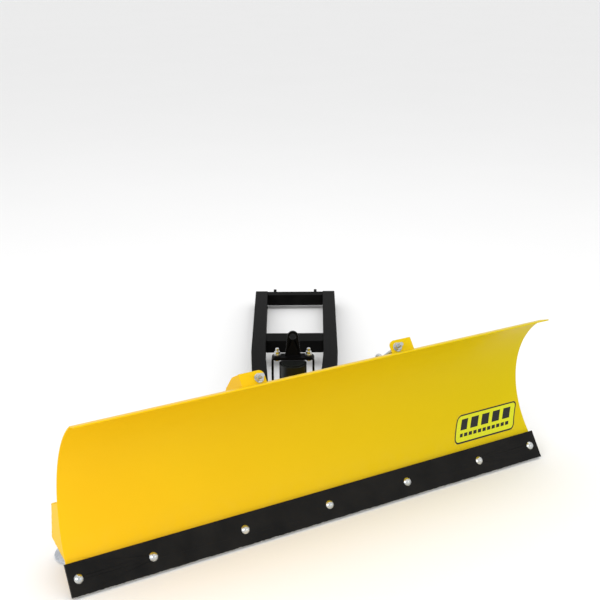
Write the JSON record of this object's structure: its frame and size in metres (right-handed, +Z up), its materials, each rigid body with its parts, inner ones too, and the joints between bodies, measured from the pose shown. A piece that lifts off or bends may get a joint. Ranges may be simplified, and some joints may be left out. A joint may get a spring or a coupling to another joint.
{
  "type": "atv plow blade",
  "caption": "Angled yellow snow plow blade with a curved moldboard, wear bar, trip springs and skid shoes, on a black push frame with a powered angle drive and a lift lug.",
  "frame": {"origin": "centre of the rear hitch axis, midway between the two hitch ears", "axes": "+Z up, -Y the way the plow pushes, +X along the hitch axis to the plow's right-hand side as seen from the front; the floor is 26 mm below the origin"},
  "size_m": [1.1841, 1.9111, 0.4159],
  "materials": {
    "yellow_paint": "satin powder coat",
    "black_paint": "semi-gloss powder coat",
    "bar_steel": "satin",
    "zinc": "bright zinc",
    "steel": "satin",
    "bronze": "satin",
    "skid_iron": "galvanised",
    "drive_housing": "satin",
    "black_plastic": "matte",
    "rubber": "matte",
    "decal": "gloss vinyl"
  },
  "bodies": {
    "push_frame": {"push_tube_left": "black_paint", "push_tube_right": "black_paint", "tube_caps": "black_plastic", "cross_member": "black_paint", "hitch_bar": "black_paint", "hitch_ears": "black_paint", "hitch_bushes": "steel", "nose_plate_top": "black_paint", "nose_plate_bottom": "black_paint", "nose_bushes": "bronze", "thrust_washers": "bronze", "gearbox": "drive_housing", "gearbox_screws": "zinc", "motor": "drive_housing", "motor_end_cap": "drive_housing", "lift_arch": "black_paint", "arch_bolts": "zinc", "lift_lug": "black_paint", "terminal_insulators": "black_plastic", "terminal_studs": "zinc"},
    "swivel": {"swivel_beam": "black_paint", "swivel_hub": "black_paint", "trip_arms": "black_paint", "spring_anchors": "black_paint", "trip_stops": "rubber", "kingpin": "steel", "shaft_key": "steel", "castle_nut": "zinc", "split_pin": "steel", "trip_spring_left": "steel", "trip_spring_right": "steel"},
    "blade": {"moldboard": "yellow_paint", "decal": "decal", "wear_bar": "bar_steel", "wear_bar_bolts": "zinc", "wear_bar_washers": "zinc", "wear_bar_nuts": "zinc", "torsion_box": "yellow_paint", "box_ends": "yellow_paint", "main_ribs": "yellow_paint", "light_ribs": "yellow_paint", "trip_lugs": "yellow_paint", "spring_bracket_left": "yellow_paint", "spring_bracket_right": "yellow_paint", "eye_bolt_left": "zinc", "eye_bolt_right": "zinc", "eye_bolt_nuts": "zinc", "eye_bolt_washers": "zinc", "trip_pin_left": "zinc", "trip_pin_right": "zinc", "trip_pin_clips": "steel", "skid_sleeve_left": "yellow_paint", "skid_sleeve_right": "yellow_paint", "skid_set_bolts": "zinc"},
    "skid_left": {"skid_shoe_left": "skid_iron", "skid_stem_left": "zinc", "stem_ring_left": "zinc"},
    "skid_right": {"skid_shoe_right": "skid_iron", "skid_stem_right": "zinc", "stem_ring_right": "zinc"}
  },
  "joints": [
    {"name": "blade_swivel", "type": "hinge", "parent": "push_frame", "child": "swivel", "pos_m": [0, -1.4, 0.084], "axis": [0, 0, 1], "range_deg": [-59.25, 0.75]},
    {"name": "blade_trip", "type": "hinge", "parent": "swivel", "child": "blade", "pos_m": [0.01564, -1.42792, 0.032], "axis": [0.8725, 0.4886, 0], "range_deg": [0, 20], "stiffness_Nm_per_rad": 880, "springref_deg": -4.01, "deforming": ["trip_spring_left", "trip_spring_right"]},
    {"name": "skid_left_height", "type": "slide", "parent": "blade", "child": "skid_left", "axis": [0, 0, 1], "range_m": [0, 0.02]},
    {"name": "skid_right_height", "type": "slide", "parent": "blade", "child": "skid_right", "axis": [0, 0, 1], "range_m": [0, 0.02]}
  ]
}
